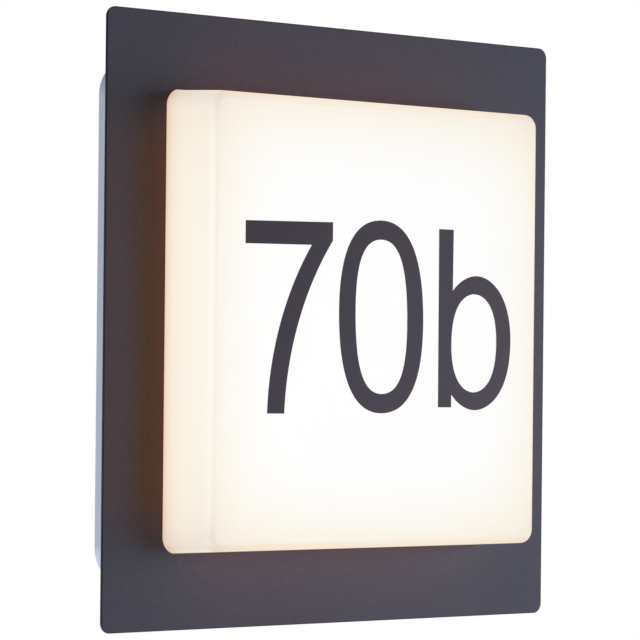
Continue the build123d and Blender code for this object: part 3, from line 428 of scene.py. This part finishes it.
MATERIALS = {
    "anthracite_powder": powder("anthracite_powder", (0.0408, 0.0398, 0.0588)),
    "opal_acrylic": opal(),
    "numeral_film": film(),
    "housing_plastic": moulded("housing_plastic", (0.625, 0.695, 0.755), (0.42, 0.55), 0.14),
    "black_rubber": rubber("black_rubber", (0.018, 0.018, 0.019)),
    "brass": metal("brass", (0.72, 0.50, 0.20)),
    "white_enamel": moulded("white_enamel", (0.86, 0.86, 0.84), (0.22, 0.30), 0.05, 400),
    "zinc_steel": metal("zinc_steel", (0.60, 0.61, 0.63)),
    "stainless": metal("stainless", (0.55, 0.55, 0.56), (0.20, 0.34)),
    "white_board": board("white_board", (0.85, 0.85, 0.83), (0.815, 0.82, 0.80)),
    "led_phosphor": lamp_face("led_phosphor", (0.92, 0.72, 0.20), (1.0, 0.88, 0.62)),
    "white_plastic": moulded("white_plastic", (0.80, 0.80, 0.78), (0.35, 0.48), 0.10),
    "green_board": board("green_board", (0.02, 0.13, 0.05), (0.05, 0.24, 0.10)),
    "winding_tape": moulded("winding_tape", (0.62, 0.48, 0.06), (0.3, 0.42), 0.08, 600),
    "capacitor_sleeve": moulded("capacitor_sleeve", (0.02, 0.025, 0.05), (0.22, 0.34), 0.05, 500),
    "clear_plastic": moulded("clear_plastic", (0.72, 0.74, 0.73), (0.28, 0.4), 0.08),
    "black_plastic": moulded("black_plastic", (0.025, 0.025, 0.028), (0.4, 0.55), 0.15),
    "brown_wire": sleeve("brown_wire", (0.13, 0.05, 0.025)),
    "blue_wire": sleeve("blue_wire", (0.03, 0.12, 0.42)),
    "red_wire": sleeve("red_wire", (0.42, 0.02, 0.02)),
    "black_wire": sleeve("black_wire", (0.015, 0.015, 0.016)),
}

slot_of = {s["node"]: s["material_slot"] for s in frame["record"]["subparts"]}
for name, ob in nodes.items():
    mat = MATERIALS[slot_of[name]]
    if not ob.material_slots:
        ob.data.materials.append(mat)
    for s in ob.material_slots:
        s.material = mat

# ---------------------------------------------------------------------------
# floor, world and lights
# ---------------------------------------------------------------------------
floor_mesh = bpy.data.meshes.new("floor")
ring = [(8.8 * math.cos(i * math.tau / 96), 8.8 * math.sin(i * math.tau / 96), -2.20) for i in range(96)]
floor_mesh.from_pydata(ring, [], [tuple(range(96))])
floor = bpy.data.objects.new("floor", floor_mesh)
scene.collection.objects.link(floor)
fm = Mat("floor_paper")
fm.set(Base_Color=fm.ramp(fm.noise(3, 2), [(0.3, (0.86, 0.86, 0.86)), (0.7, (0.88, 0.88, 0.88))]), Roughness=fm.range(fm.noise(40, 2), 0.3, 0.7, 0.7, 0.8))
fm.b.inputs["Emission Color"].default_value = (0.96, 0.98, 1.04, 1)
fm.b.inputs["Emission Strength"].default_value = 0.62
floor_mesh.materials.append(fm.m)

world = bpy.data.worlds.new("studio")
scene.world = world
world.use_nodes = True
wt = world.node_tree
wt.nodes.clear()
wo = wt.nodes.new("ShaderNodeOutputWorld")
seen = wt.nodes.new("ShaderNodeBackground")
seen.inputs[0].default_value = (1, 1, 1, 1)
seen.inputs[1].default_value = 1.0
light = wt.nodes.new("ShaderNodeBackground")
light.inputs[0].default_value = (0.96, 0.98, 1.0, 1)
light.inputs[1].default_value = 0.01
lp = wt.nodes.new("ShaderNodeLightPath")
mixer = wt.nodes.new("ShaderNodeMixShader")
wt.links.new(lp.outputs["Is Camera Ray"], mixer.inputs[0])
wt.links.new(light.outputs[0], mixer.inputs[1])
wt.links.new(seen.outputs[0], mixer.inputs[2])
wt.links.new(mixer.outputs[0], wo.inputs[0])


def softbox(name, pos, target, size, power, colour=(1, 1, 1)):
    d = bpy.data.lights.new(name, "AREA")
    d.shape = "RECTANGLE"
    d.size, d.size_y = size
    d.energy = power
    d.color = colour
    o = bpy.data.objects.new(name, d)
    scene.collection.objects.link(o)
    o.location = pos
    o.rotation_mode = "QUATERNION"
    o.rotation_quaternion = (Vector(target) - Vector(pos)).to_track_quat("-Z", "Y")
    return o


def toward(turn, rise, dist=1.5):
    """A place dist away from the plate: turn is round the wall plane from +X, rise is out of the wall."""
    t, r = math.radians(turn), math.radians(rise)
    return (dist * math.cos(r) * math.cos(t), -0.03 - dist * math.sin(r), dist * math.cos(r) * math.sin(t))


AIM = (0.0, -0.03, 0.0)
COOL = (0.95, 0.97, 1.12)
# in front: one raking from the right, one beside the camera's mirror direction, one raking from below right
softbox("key", toward(0, 25), AIM, (0.7, 0.7), 7.5, COOL)
softbox("broad", toward(0, 60), AIM, (0.7, 0.7), 6.55, COOL)
softbox("low", toward(-28, 30), AIM, (0.7, 0.7), 1.9, COOL)
# a tall faint one at the far left, seen only as the line along the diffuser's rounded front edge
softbox("edge", toward(180, 14), AIM, (0.40, 1.3), 1.7, COOL)
# behind the wall plane: they reach only the housing's sides and back
softbox("rear_left", (-1.3, 1.2, -0.72), (0, 0, 0), (0.8, 0.8), 17.0, COOL)
softbox("rear_right", (1.3, 1.3, 0.25), (0, 0, 0), (0.8, 0.8), 9.0, COOL)
softbox("rear_top", (0.1, 0.9, 1.4), (0, 0, 0), (0.8, 0.8), 8.0, COOL)
